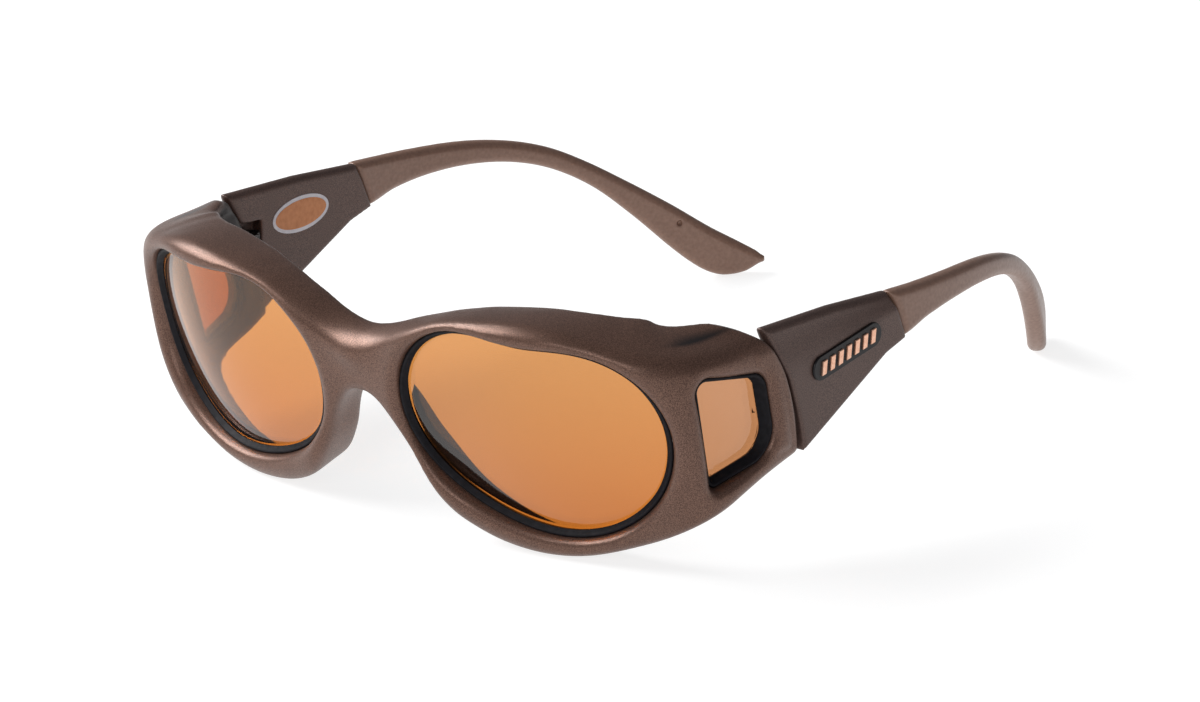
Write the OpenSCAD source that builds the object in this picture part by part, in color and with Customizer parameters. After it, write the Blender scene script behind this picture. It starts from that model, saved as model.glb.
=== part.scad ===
// Wrap-around sunglasses that fit over a pair of spectacles, with side windows,
// folding temples and bendable rear ends. Millimetres, +Z up, lens side towards -Y,
// wearer's left towards +X. The origin is under the middle of the whole object.

/* [Front] */
// Overall width across the side shields
frame_width = 143.4; // [136:0.2:172]
// Depth of the side shields behind the corners
shield_length = 11; // [9:0.5:16]
// Thickness of the lens rims
rim_wall = 4.2; // [3.8:0.1:5.5]
// Thickness of the side shields
shield_wall = 5.4; // [4.6:0.1:6.5]
// Thickness of the top shelf and the lower lip
shelf_wall = 2.2; // [1.6:0.1:3]
// Forward lean of the front, from the vertical
front_lean = 13.3; // [8:0.1:18]

/* [Lenses] */
// Mean radius of a lens opening
lens_radius = 24.96; // [20:0.01:25.4]
// How much wider than high an opening is
lens_oval = 4.4; // [2:0.1:5]
// Lens thickness
lens_thick = 1.8; // [1.2:0.1:2.4]
// How far a lens sits behind the rim's face
lens_recess = 2.2; // [1.6:0.1:2.6]
// Height of a side window
window_height = 22.2; // [18:0.2:23]
// Length of a side window
window_length = 18.4; // [14.4:0.2:19]
// How far a side lens sits behind the shield's face
side_recess = 3.4; // [2.4:0.1:3.6]
// Side lens thickness
side_thick = 1.6; // [1.2:0.1:2]
// Thickness of the black seal strips
seal_wall = 0.7; // [0.5:0.05:0.9]

/* [Temples] */
// Length of a rigid arm from the front joint to the flexible end
arm_length = 37; // [32:0.5:48]
// Thickness of the rigid arm
arm_thick = 4.2; // [3.8:0.1:5.5]
// Height of the rigid arm at the front joint
arm_height = 25.8; // [23.6:0.2:28]
// Radius of the inward curve of the flexible end
rear_bend_radius = 122; // [95:1:180]
// How far each temple leans inward from square to the front
toe_angle = 0.8; // [0:0.1:3]
// Thickness of the flexible end
rear_thick = 3.8; // [3.2:0.1:4.6]
// Diameter of the bendable wire core
wire_d = 1.4; // [1:0.1:1.8]

/* [Hinges] */
// Outside diameter of the knuckles
knuckle_d = 3.6; // [3.2:0.1:4]
// Diameter of the hinge screw's shank
screw_d = 1.4; // [1.2:0.1:1.6]
// Height of one knuckle
knuckle_h = 2.8; // [2.2:0.1:3.2]
// Thickness of a hinge leaf
leaf_thick = 1.1; // [0.8:0.1:1.3]

/* [Trim] */
// Length of the badge on each arm
badge_length = 20; // [14:0.5:22]
// Height of the badge
badge_height = 4.6; // [3:0.1:5]
// Length of the oval label inside the right arm
label_length = 15.5; // [10:0.5:16]
// Height of the oval label
label_height = 7.2; // [5:0.1:8]

/* [Clearances] */
// Gap between two pieces that are fitted into each other
fit_gap = 0.03; // [0.02:0.01:0.06]
// Gap along the seam between the front and an arm
seam_gap = 0.7; // [0.5:0.1:1.2]
// Radial running clearance of a hinge knuckle on its screw
pivot_gap = 0.05; // [0.03:0.01:0.08]
// Gap between neighbouring knuckles
knuckle_gap = 0.1; // [0.06:0.01:0.2]

/* [Hidden] */
bronze = [0.36, 0.28, 0.25];
satin = [0.50, 0.42, 0.37];
amber = [0.85, 0.52, 0.22, 0.6];
black = [0.08, 0.07, 0.08];
steel = [0.7, 0.7, 0.72];
copper = [0.85, 0.55, 0.40];

// ---- curve helpers
// Slope of a smooth curve through knots [position, value] at knot i
function knot_slope(k, i) = (i == 0 || i == len(k) - 1) ? 0
    : (k[i + 1][1] - k[i - 1][1]) / (k[i + 1][0] - k[i - 1][0]);
function knot_before(k, t) = min(len(k) - 2, max(0, len([for (q = k) if (q[0] <= t) 1]) - 1));
// Smooth curve through the knots, held level beyond its ends
function curve(k, t) =
    let (i = knot_before(k, t), w = k[i + 1][0] - k[i][0])
    let (s = min(1, max(0, (t - k[i][0]) / w)))
    let (a = 2 * pow(s, 3) - 3 * pow(s, 2) + 1, b = pow(s, 3) - 2 * pow(s, 2) + s)
    let (c = pow(s, 3) - pow(s, 2))
    a * k[i][1] + b * w * knot_slope(k, i) + (1 - a) * k[i + 1][1] + c * w * knot_slope(k, i + 1);
function ease(a, b, t) = let (k = min(1, max(0, (t - a) / (b - a)))) k * k * (3 - 2 * k);

// ---- the wrapped surface: u along the front from the bridge, v up the front, h outward
// A wider frame gets a wider bridge: every other piece moves out whole.
frame_half = frame_width / 2;
nominal_half = 71.7;
widen = frame_half - nominal_half;
front_turn = 34;
corner_turn = 54;
crown_radius = 95;
lens_mid = 39.62;
// Where the shield ends, and the length of the flattened half front
corner_end = 86;
shield_end = corner_end + shield_length;
function heading(u) = front_turn * ease(22, 72, u - widen) + corner_turn * ease(62, corner_end, u - widen);
plan_step = 1;
plan = [for (i = 0, x = 0, y = 0; i <= 135;
    x = x + plan_step * cos(heading((i + 0.5) * plan_step)),
    y = y + plan_step * sin(heading((i + 0.5) * plan_step)), i = i + 1) [i * plan_step, x, y]];
plan_x = [for (p = plan) [p[0], p[1]]];
plan_y = [for (p = plan) [p[0], p[2]]];
lens_place = [13, 26];
face_back = -1.8;
function side_of(u) = u < 0 ? -1 : 1;
function skin(u, v, h) =
    let (a = abs(u), t = heading(a), out = h - v * v / (2 * crown_radius))
    let (x = side_of(u) * (lookup(a, plan_x) + sin(t) * out))
    let (y = lookup(a, plan_y) + face_back - cos(t) * out)
    [x, y * cos(front_lean) - v * sin(front_lean) + lens_place[0],
        y * sin(front_lean) + v * cos(front_lean) + lens_place[1]];

// ---- edges of the front, as heights or depths along u
lower_knots = [[0, 3], [4, 1.9], [8.4, -3.3], [13.1, -12.2], [19.2, -19.8], [29.6, -24.3],
    [44, -25], [60, -21.4], [75, -17.2], [97, -16.4]];
brow_knots = [[0, 14.7], [4, 15], [8, 16.1], [12, 17.8], [17, 19.8], [22, 21.6], [30, 23.2],
    [40, 23.9], [48, 23.2], [55, 21.4], [62, 19], [70, 16.6], [81, 14], [90, 12], [97, 11]];
brow_out_knots = [[0, 1.2], [4, 0.8], [8, 0.6], [12, 1], [17, 1.6], [25, 1.9], [40, 1.6],
    [65, 1.2], [80, 0.3], [97, 0]];
// How far the face swells out between the openings and its lower edge
face_out_knots = [[0, 0], [11, 0.8], [16, 2.1], [24, 2], [44, 1.6], [60, 2.1], [72, 2.4], [82, 0.6],
    [97, 0]];
shelf_knots = [[0, 14], [4, 14.7], [8, 15.9], [12, 17.2], [17, 18.5], [22, 19.6], [30, 20.5],
    [45, 20.8], [55, 20.2], [62, 18.9], [70, 17.8], [80, 16.8], [90, 14.6], [97, 13]];
shelf_depth_knots = [[0, 7.6], [4, 7.6], [8, 7.9], [12, 8.5], [17, 9.3], [22, 10.4], [30, 12.3],
    [42, 13.6], [55, 13.4], [65, 14.3], [75, 14.2], [85, 11], [92, 7.2], [97, 6.6]];
brow_round_knots = [[0, 3.6], [10, 2.6], [45, 2.6], [60, 3], [97, 3]];
// How much deeper the wall is over the bridge, where the face is set back
bridge_depth_knots = [[0, 3.4], [4, 2.6], [8, 0.8], [11, 0]];
lip_knots = [[0, 9.2], [14, 9.8], [44, 8.2], [75, 6.6], [90, 5.9], [97, 4.8]];
// How much the lip's wall grows up and down where the lower edge is steep
lip_stretch_knots = [[0, 1], [4, 1.3], [9, 1.9], [14, 2], [20, 1.4], [30, 1.1], [44, 1]];
function inner(u) = max(0, abs(u) - widen);
function lower_edge(u) = curve(lower_knots, inner(u));
function brow_edge(u) = curve(brow_knots, inner(u));
function brow_out(u) = curve(brow_out_knots, inner(u));
function face_out(u) = curve(face_out_knots, inner(u));
function shelf_top(u) = curve(shelf_knots, inner(u));
function shelf_depth(u) = curve(shelf_depth_knots, inner(u)) + (wall_at(u) - nominal_wall(u));
function brow_round(u) = curve(brow_round_knots, inner(u));
function lip_depth(u) = curve(lip_knots, inner(u)) + (wall_at(u) - nominal_wall(u));
function wall_at(u) = rim_wall + (shield_wall - rim_wall) * ease(62, 76, inner(u));
function nominal_wall(u) = 4.2 + 1.2 * ease(62, 76, inner(u));
lower_round = 1.2;
corner_fill = 3;
shelf_fill = 0.27;
shelf_crown = 0.4;
round_steps = 4;
face_steps = 6;
// Cross-section of the front at u, as [v, h] points
function front_section(u) =
    let (lo = lower_edge(u), top = brow_edge(u), r = brow_round(u), b = brow_out(u))
    let (d = shelf_depth(u), lip = lip_depth(u), st = shelf_top(u))
    let (w = wall_at(u) + curve(bridge_depth_knots, inner(u)))
    let (low = lo + lower_round, in_low = lo + shelf_wall * curve(lip_stretch_knots, inner(u)))
    let (in_top = min(top - corner_fill, st - shelf_fill * shelf_wall), f = face_out(u))
    let (rise = max(0, (st - top) / 2 + shelf_crown), arc = 90 - atan2(rise, (b - r + d) / 2))
    concat(
        [[lo, -lip], [lo, f - lower_round]],
        [for (i = [0:face_steps - 1]) let (t = i / face_steps)
            [low + (top - r - low) * t, f + (b - f) * t * t]],
        [for (i = [0:round_steps]) let (t = arc * i / round_steps)
            [top - r + r * sin(t), b - r + r * cos(t)]],
        [[(top + st) / 2 + shelf_crown, (b - r - d) / 2], [st, -d], [st - shelf_wall, -d]],
        [for (i = [0:face_steps]) [in_top + (in_low - in_top) * i / face_steps, -w]],
        [[in_low, -lip]]);
function ring_at(u) = [for (p = front_section(u)) skin(u, p[0], p[1])];

// ---- outlines on the wrapped surface, as [u, v] points
lens_points = 48;
lens_rise = 0.55;
lens_tilt = -0.94;
lens_egg = 0.84;
// Lens opening: an egg-shaped oval, its edge moved inward by the inset
function lens_edge(inset) = [for (i = [0:lens_points - 1])
    let (t = 360 * i / lens_points)
    let (r = lens_radius + lens_oval * cos(2 * t) + lens_tilt * sin(2 * t) + lens_egg * sin(3 * t))
    [lens_mid + widen + (r - inset) * cos(t), lens_rise + (r - inset) * sin(t)]];
window_mid = [82.9, -1.2];
// Side window: a rounded four-sided opening, each corner as [u, v, radius, first angle, last angle]
function window_corners() =
    let (l = window_length / 2, k = window_height / 2)
    [[l - 4.6, k - 8.7, 4.5, 2, 52], [-l + 4, k - 2.7, 2.8, 62, 168],
        [-l + 1.9, -k + 2, 1.9, 186, 268], [l - 6.5, -k + 6.2, 6.1, 272, 352]];
arc_steps = 6;
function window_edge(inset) = [for (c = window_corners()) for (i = [0:arc_steps])
    let (t = c[3] + (c[4] - c[3]) * i / arc_steps)
    [window_mid[0] + widen + c[0] + (c[2] - inset) * cos(t),
        window_mid[1] + c[1] + (c[2] - inset) * sin(t)]];

// ---- solids from rings of points
// Closed solid through rings that each have the same number of points
module ring_solid(rings) {
    n = len(rings[0]);
    m = len(rings);
    sides = [for (j = [0:m - 2]) for (i = [0:n - 1]) let (k = (i + 1) % n)
        each [[j * n + i, j * n + k, (j + 1) * n + k], [j * n + i, (j + 1) * n + k, (j + 1) * n + i]]];
    ends = [[for (i = [n - 1:-1:0]) i], [for (i = [0:n - 1]) (m - 1) * n + i]];
    polyhedron([for (r = rings) each r], concat(sides, ends), convexity = 10);
}
// Plate that follows the wrapped surface through these depths, the foremost first.
// Its rim is divided at every depth, so that it matches another piece divided there.
module skin_plate(edge, depths, loops) {
    n = len(edge);
    m = len(depths);
    mid = [for (k = [0:1]) (max([for (p = edge) p[k]]) + min([for (p = edge) p[k]])) / 2];
    cap = function (h) concat([skin(mid[0], mid[1], h)], [for (j = [1:loops - 1]) for (p = edge)
        let (q = mid + (p - mid) * j / loops) skin(q[0], q[1], h)]);
    rims = [for (h = depths) for (p = edge) skin(p[0], p[1], h)];
    size = 1 + n * (loops - 1);
    // Index of point i of loop j on the front cap (end 0) or the back cap (end 1)
    at = function (end, j, i) j == loops ? (end * (m - 1)) * n + i % n
        : m * n + end * size + (j == 0 ? 0 : 1 + (j - 1) * n + i % n);
    caps = [for (end = [0, 1]) for (j = [0:loops - 1]) for (i = [0:n - 1])
        let (a = at(end, j, i), b = at(end, j + 1, i), c = at(end, j + 1, i + 1))
        for (f = concat([[a, b, c]], j == 0 ? [] : [[a, c, at(end, j, i + 1)]]))
        end == 0 ? [f[2], f[1], f[0]] : f];
    sides = [for (d = [0:m - 2]) for (i = [0:n - 1]) let (k = (i + 1) % n, a = d * n, b = a + n)
        each [[b + k, b + i, a + i], [a + k, b + k, a + i]]];
    polyhedron(concat(rims, cap(depths[0]), cap(depths[m - 1])), concat(caps, sides), convexity = 4);
}
// Strip that lines an opening, between two edges and two depths. Its inner wall is
// divided at both faces of the lens, so that it matches the lens's rim.
module skin_strip(outer, inside, span, lens_faces) {
    n = len(outer);
    loops = [for (q = [[outer, span[0]], [outer, span[1]], [inside, span[1]],
        [inside, lens_faces[1]], [inside, lens_faces[0]], [inside, span[0]]])
        [for (p = q[0]) skin(p[0], p[1], q[1])]];
    faces = [for (j = [0:5]) for (i = [0:n - 1]) let (k = (i + 1) % n, b = (j + 1) % 6)
        each j < 2 ? [[b * n + k, b * n + i, j * n + i], [j * n + k, b * n + k, j * n + i]]
            : [[j * n + i, j * n + k, b * n + i], [j * n + k, b * n + k, b * n + i]]];
    polyhedron([for (r = loops) each r], faces, convexity = 6);
}

// ---- the seam between the front and an arm, in side view as [z, y]
arm_top = 45.2;
arm_bottom = arm_top - arm_height;
seam_shift = (shield_length - 11) * cos(front_lean);
seam_knots = [[13, 54.2], [24, 52.2], [33, 50], [38.5, 47.9], [42.5, 45.2], [45.2, 42.2], [49, 36]];
function seam_y(z) = curve(seam_knots, z) + seam_shift;
side_x = frame_half - 0.3;
arm_start = 47.4;
joint_y = arm_start + seam_shift + arm_length;
joint_lean = 3.4;

// ---- the flexible end in plan: an arc that starts straight behind the arm
rear_length = 91;
rear_x = side_x - rear_thick / 2 - 0.2;
function rear_turn(s) = s / rear_bend_radius * 180 / PI;
// Point at s along the end, off sideways towards the outside, at height z
function rear_point(s, off, z) = let (t = rear_turn(max(0, s)))
    [rear_x - rear_bend_radius * (1 - cos(t)) + off * cos(t),
        joint_y + min(0, s) + rear_bend_radius * sin(t) + off * sin(t), z];
rear_top_knots = [[0, 42.2], [10, 41.2], [26, 39.6], [37, 37.4], [46, 34.3], [54, 30], [63, 24.2],
    [72, 18.1], [80, 12.3], [86, 8.6], [89.5, 6.5], [91, 5.3]];
rear_low_knots = [[0, 32.6], [8, 34.2], [17, 34.9], [27, 34.6], [37, 33], [46, 29.9], [55, 24.5],
    [63, 17.4], [72, 8.4], [77, 4.2], [80.5, 2.4], [83.5, 2], [87, 2.4], [91, 4]];
function rear_top(s) = curve(rear_top_knots, s);
function rear_low(s) = curve(rear_low_knots, s);
joint_low = rear_low(0);
joint_high = rear_top(0);

// How far the pin's axis lies outside the arm's inner face
pin_depth = 0.4;
// Where the pin stands behind the lenses, and the height of its middle, at nominal depth
hinge_back = 50.6;
hinge_height = 32;

// ---- placing: the foremost and hindmost points, and the height of the lowest ones
hinge_x = side_x - arm_thick + pin_depth;
hinge_y = hinge_back + seam_shift;
front_points = [for (u = [0:2:60]) for (p = front_section(u)) skin(u, p[0], p[1])];
front_y = min([for (p = front_points) p[1]]);
floor_z = min([for (p = front_points) p[2]]);
tip = rear_point(rear_length, rear_thick / 4, 0);
rear_y = hinge_y + (tip[1] - hinge_y) * cos(toe_angle) + (tip[0] - hinge_x) * sin(toe_angle);
module place() {
    translate([0, -(front_y + rear_y) / 2, -floor_z]) children();
}
module other_side() {
    mirror([1, 0, 0]) children();
}

// ---- hinge geometry: the pin leans back with the line of the arms
hinge_lean = 5;
hinge_at = [hinge_x, hinge_y, hinge_height];
screw_r = screw_d / 2;
knuckle_r = knuckle_d / 2;
hinge_pitch = knuckle_h + knuckle_gap;
barrel_h = 3 * knuckle_h + 2 * knuckle_gap;
// How far the front leaf's inner face lies inside the pin's axis
leaf_inner = knuckle_r + 0.85;
block_inner = hinge_at[0] - leaf_inner + leaf_thick;
module at_hinge() {
    translate(hinge_at) rotate([-hinge_lean, 0, 0]) children();
}

// Turn a temple's piece about the pin to its place at rest
module toe_in() {
    at_hinge() rotate([0, 0, toe_angle]) rotate([hinge_lean, 0, 0]) translate(-hinge_at) children();
}

module front_frame() {
    color(bronze) place() difference() {
        union() {
            front_shell();
            for (side = [0, 1]) mirror([side, 0, 0]) end_block();
            for (side = [0, 1]) mirror([side, 0, 0]) nose_flare();
        }
        for (side = [0, 1]) mirror([side, 0, 0]) front_cuts();
    }
}
station_step = 2.5;
module front_shell() {
    stations = concat([for (u = [-shield_end:station_step:shield_end - 0.1]) u], [shield_end]);
    ring_solid([for (u = stations) ring_at(u)]);
}
// Rounded block that stiffens the end of the shield and carries the hinge
block_r = 1.2;
block_z = [22, 41];
block_lean = 0.2;
block_reach = 6.6;
module end_block() {
    hull() {
        for (z = block_z) {
            for (y = [hinge_at[1] - block_reach, hinge_at[1] - knuckle_r - 1.6]) {
                x = block_inner + block_r;
                translate([x, y - (z - hinge_at[2]) * block_lean, z]) sphere(block_r, $fn = 16);
                translate([x + 2, y - (z - hinge_at[2]) * block_lean, z]) sphere(block_r, $fn = 16);
            }
        }
    }
}
// Soft swelling of the lip beside the nose, as a chain of beads
flare_stations = [10, 12, 14, 16, 18, 20, 22, 25];
flare_r = 1.5;
module nose_flare() {
    for (i = [0:len(flare_stations) - 2]) {
        hull() {
            for (u = [flare_stations[i], flare_stations[i + 1]]) {
                translate(skin(u + widen, lower_edge(u + widen) + flare_r, -lip_depth(u) + 0.6))
                    sphere(flare_r, $fn = 12);
            }
        }
    }
}
// Depths between which the seal strips line the openings
lens_seal_span = [-0.9, -rim_wall + 0.05];
side_seal_span = [-1, -shield_wall + 0.05];
// Depths of each lens's two faces
lens_faces = [-lens_recess, -lens_recess - lens_thick];
side_faces = [-side_recess, -side_recess - side_thick];
module front_cuts() {
    skin_plate(lens_edge(0), concat([6], lens_seal_span, [-rim_wall - 0.9]), 2);
    skin_plate(window_edge(0), concat([4], side_seal_span, [-shield_wall - 4]), 2);
    zs = [for (z = [8:2:50]) z];
    translate([side_x - 22, 0, 0]) rotate([90, 0, 90])
        linear_extrude(40) polygon(concat([for (z = zs) [seam_y(z), z]], [[90, 50], [90, 8]]));
    hinge_seat();
}
// Space for the hinge in the front: a seat for the leaf and a hollow round the knuckles
seat_open = 4;
knuckle_room = 0.3;
module hinge_seat() {
    half = barrel_h / 2 + 2 * fit_gap;
    at_hinge() {
        translate([-leaf_inner - seat_open, -leaf_reach - 2 * fit_gap, -half])
            cube([seat_open + leaf_thick + fit_gap, leaf_reach + knuckle_r, 2 * half]);
        translate([-knuckle_r - seat_open, -knuckle_r - web_reach - 2 * fit_gap, -half])
            cube([seat_open + leaf_thick + fit_gap, 2 * knuckle_r + web_reach, 2 * half]);
        translate([0, 0, -half]) cylinder(h = 2 * half, r = knuckle_r + knuckle_room, $fn = 48);
    }
}

module lens() {
    color(amber) place()
        skin_plate(lens_edge(seal_wall + 2 * fit_gap), lens_faces, 6);
}
module lens_seal() {
    color(black) place() skin_strip(lens_edge(fit_gap), lens_edge(seal_wall + fit_gap),
        lens_seal_span, lens_faces);
}
module side_lens() {
    color(amber) place()
        skin_plate(window_edge(seal_wall + 2 * fit_gap), side_faces, 3);
}
module side_seal() {
    color(black) place()
        skin_strip(window_edge(fit_gap), window_edge(seal_wall + fit_gap), side_seal_span, side_faces);
}

// ---- hinge pieces
module knuckle(level, bore_r) {
    translate([0, 0, level * hinge_pitch - knuckle_h / 2]) difference() {
        cylinder(h = knuckle_h, r = knuckle_r, $fn = 48);
        translate([0, 0, -1]) cylinder(h = knuckle_h + 2, r = bore_r, $fn = 48);
    }
}
// Flat web beside the pin, from x0 to x1 and y0 to y1, cleared round the bore
module web(x0, x1, y0, y1, height, bore_r) {
    difference() {
        translate([x0, y0, -height / 2]) cube([x1 - x0, y1 - y0, height]);
        translate([0, 0, -height]) cylinder(h = 2 * height, r = bore_r, $fn = 48);
    }
}
head_r = 1.35;
head_h = 0.7;
slot_w = 0.4;
slot_depth = 0.35;
// How far the web of a single knuckle reaches past it, and how far it laps into its leaf
web_reach = 1.2;
web_lap = 0.1;
leaf_reach = 4.4;
module hinge_front_leaf() {
    color(steel) place() at_hinge() {
        for (level = [-1, 1]) {
            difference() {
                union() {
                    knuckle(level, screw_r + fit_gap / 2);
                    translate([0, 0, level * hinge_pitch]) web(-leaf_inner, leaf_thick - knuckle_r,
                        -knuckle_r - web_reach, 0, knuckle_h, screw_r + fit_gap / 2);
                }
                translate([0, 0, barrel_h / 2 - head_h]) cylinder(h = 2, r = head_r + fit_gap, $fn = 48);
            }
        }
        translate([-leaf_inner, -leaf_reach, -barrel_h / 2])
            cube([leaf_thick, leaf_reach - knuckle_r - web_reach + web_lap, barrel_h]);
    }
}
module hinge_temple_leaf() {
    color(steel) place() toe_in() at_hinge() {
        knuckle(0, screw_r + pivot_gap);
        web(leaf_x, leaf_x + leaf_thick, 0, knuckle_r + web_reach, knuckle_h, screw_r + pivot_gap);
        translate([leaf_x, knuckle_r + web_reach - web_lap, -barrel_h / 2])
            cube([leaf_thick, leaf_end - knuckle_r - web_reach + web_lap, barrel_h]);
    }
}
module hinge_screw() {
    color(steel) place() at_hinge() difference() {
        union() {
            translate([0, 0, -barrel_h / 2]) cylinder(h = barrel_h - head_h, r = screw_r, $fn = 48);
            translate([0, 0, barrel_h / 2 - head_h]) cylinder(h = head_h, r = head_r, $fn = 48);
        }
        translate([-slot_w / 2, -head_r, barrel_h / 2 - slot_depth]) cube([slot_w, 2 * head_r, 1]);
    }
}

// ---- temple: a rigid arm and a flexible end
// The leaf in the arm: how far outside the pin's axis it lies, and where it ends
leaf_x = 0.6;
leaf_end = knuckle_r + 7.4;
// The open recess round the knuckles, towards the arm's inner face
recess_end = knuckle_r + 0.9;
recess_h = 12.6;
recess_open = 5;
recess_front = 10;
arm_front_knots = [[18, 53.2], [33, 50.1], [40, 46.9], [44, 44.8], [46.4, 44.3]];
function arm_front(z) = curve(arm_front_knots, z) + seam_shift + seam_gap;
arm_crown = 0.3;
foot_length = 6;
foot_drop = 1.5;
module arm_outline() {
    front = [for (i = [0:10]) let (z = arm_bottom + (arm_top - arm_bottom) * i / 10) [arm_front(z), z]];
    mid_y = (joint_y + front[10][0]) / 2;
    polygon(concat(front,
        [[mid_y, (arm_top + joint_high) / 2 + arm_crown], [joint_y - joint_lean, joint_high]],
        [[joint_y, joint_low], [joint_y - foot_length, joint_low - foot_drop]]));
}
module temple_arm() {
    color(bronze) place() toe_in() difference() {
        translate([side_x - arm_thick, 0, 0]) rotate([90, 0, 90]) linear_extrude(arm_thick) arm_outline();
        at_hinge() {
            translate([-recess_open, -recess_front, -recess_h / 2]) cube([recess_open + knuckle_r
                + knuckle_room, recess_front + recess_end, recess_h]);
            translate([leaf_x - fit_gap, 0, -barrel_h / 2 - fit_gap])
                cube([leaf_thick + 2 * fit_gap, leaf_end + fit_gap, barrel_h + 2 * fit_gap]);
        }
        wire_path(wire_d / 2 + fit_gap);
    }
}

// ---- the flexible end and its wire
rear_round = 0.8;
// Cross-section ring of the flexible end, its front end cut along the sloping joint
function rear_ring(s) =
    let (lo = rear_low(s), hi = rear_top(s), w = rear_thick / 2, tip = ease(0, 7, rear_length - s))
    let (half = w * (0.45 + 0.55 * tip), c = min(rear_round, (hi - lo) / 2 - 0.1))
    [for (p = [[-half + c, lo], [half - c, lo], [half, lo + c], [half, hi - c],
        [half - c, hi], [-half + c, hi], [-half, hi - c], [-half, lo + c]])
        let (cut = joint_lean * (1 - ease(0, 12, s)) * (p[1] - lo) / (hi - lo))
        rear_point(s - cut, p[0], p[1])];
rear_step = 2.5;
module temple_rear() {
    color(satin) place() toe_in() difference() {
        ring_solid([for (s = [0:rear_step:rear_length]) rear_ring(s)]);
        wire_path(wire_d / 2 + fit_gap);
    }
}
// Wire core: from inside the arm almost to the tip, along the middle of the flexible end
wire_start = -9;
wire_end = 80;
wire_sides = 10;
function wire_z(s) = (rear_low(s) + rear_top(s)) / 2;
module wire_path(r) {
    ring_solid([for (s = [wire_start:3:wire_end])
        let (rise = (wire_z(s + 1) - wire_z(s - 1)) / 2, k = 1 / sqrt(1 + rise * rise))
        [for (i = [0:wire_sides - 1]) let (t = 360 * i / wire_sides)
            let (p = rear_point(s, r * cos(t), wire_z(s) + r * sin(t) * k))
            let (q = rear_point(s - r * sin(t) * rise * k, r * cos(t), p[2])) q]]);
}
module temple_wire() {
    color(steel) place() toe_in() wire_path(wire_d / 2);
}

// ---- trim on the arms
badge_forward = 17.9;
badge_z = 35.1;
badge_at = [joint_y - badge_forward, badge_z];
badge_slope = 7.8;
badge_thick = 0.8;
badge_sunk = 0.3;
bar_count = 7;
bar_proud = 0.35;
module badge_outline() {
    hull() {
        for (y = [-1, 1]) {
            translate([y * (badge_length - badge_height) / 2, 0]) circle(badge_height / 2, $fn = 32);
        }
    }
}
module on_arm(outward) {
    translate([side_x + outward, badge_at[0], badge_at[1]]) rotate([badge_slope, 0, 0]) rotate([90, 0, 90])
        children();
}
module badge_plate() {
    color(black) place() toe_in() on_arm(0) linear_extrude(badge_thick - badge_sunk) badge_outline();
}
module badge_bars() {
    color(copper) place() toe_in() on_arm(badge_thick - badge_sunk) {
        for (i = [0:bar_count - 1]) {
            y = (i - (bar_count - 1) / 2) * (badge_length - badge_height) / (bar_count - 0.6);
            translate([y, 0]) linear_extrude(bar_proud)
                polygon([[-1, -badge_height / 2 + 1], [0.2, -badge_height / 2 + 1],
                    [1, badge_height / 2 - 1], [-0.2, badge_height / 2 - 1]]);
        }
    }
}
label_thick = 0.15;
label_forward = 19.9;
label_z = 36.5;
label_at = [joint_y - label_forward, label_z];
module inner_label() {
    color(copper) place() toe_in()
        translate([side_x - arm_thick - label_thick, label_at[0], label_at[1]]) rotate([90, 0, 90])
        linear_extrude(label_thick) scale([label_length / label_height, 1]) circle(label_height / 2, $fn = 64);
}

front_frame();
lens();  // lens_left
other_side() lens();  // lens_right
lens_seal();  // lens_seal_left
other_side() lens_seal();  // lens_seal_right
side_lens();  // side_lens_left
other_side() side_lens();  // side_lens_right
side_seal();  // side_seal_left
other_side() side_seal();  // side_seal_right
hinge_front_leaf();  // hinge_front_leaf_left
other_side() hinge_front_leaf();  // hinge_front_leaf_right
hinge_screw();  // hinge_screw_left
other_side() hinge_screw();  // hinge_screw_right
hinge_temple_leaf();  // hinge_temple_leaf_left
other_side() hinge_temple_leaf();  // hinge_temple_leaf_right
temple_arm();  // temple_arm_left
other_side() temple_arm();  // temple_arm_right
temple_rear();  // temple_rear_left
other_side() temple_rear();  // temple_rear_right
temple_wire();  // temple_wire_left
other_side() temple_wire();  // temple_wire_right
badge_plate();  // badge_plate_left
other_side() badge_plate();  // badge_plate_right
badge_bars();  // badge_bars_left
other_side() badge_bars();  // badge_bars_right
other_side() inner_label();  // inner_label_right
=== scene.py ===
import math

import bpy
import numpy as np
from mathutils import Matrix, Vector


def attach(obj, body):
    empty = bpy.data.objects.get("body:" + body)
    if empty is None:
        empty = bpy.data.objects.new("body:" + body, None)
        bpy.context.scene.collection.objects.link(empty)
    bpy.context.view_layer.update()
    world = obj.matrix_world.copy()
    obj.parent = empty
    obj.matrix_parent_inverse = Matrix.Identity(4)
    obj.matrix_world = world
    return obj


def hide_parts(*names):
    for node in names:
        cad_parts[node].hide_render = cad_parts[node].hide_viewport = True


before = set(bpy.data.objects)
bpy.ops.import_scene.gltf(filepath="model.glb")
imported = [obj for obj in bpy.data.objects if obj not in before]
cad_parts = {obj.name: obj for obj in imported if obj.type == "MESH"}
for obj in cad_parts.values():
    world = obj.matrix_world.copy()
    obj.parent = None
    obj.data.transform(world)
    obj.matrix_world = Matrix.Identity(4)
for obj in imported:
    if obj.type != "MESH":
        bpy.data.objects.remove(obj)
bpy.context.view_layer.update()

# Lengths in this script are millimetres in the object's own layout, as in the design;
# they become metres in the shared frame when a mesh is made (see to_frame). The floor
# and the lights are placed in metres.

# ---------------------------------------------------------------- design values
SHIELD_END = 97.0
RIM_WALL = 4.2
SHIELD_WALL = 5.4
SHELF_WALL = 2.2
SHELF_CROWN = 0.4
LOWER_ROUND = 1.2
# How far the hollow inside stays below the brow's edge, and below the shelf's back edge
CORNER_FILL = 3
SHELF_FILL = 0.6
FRONT_LEAN = math.radians(13.3)
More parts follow.
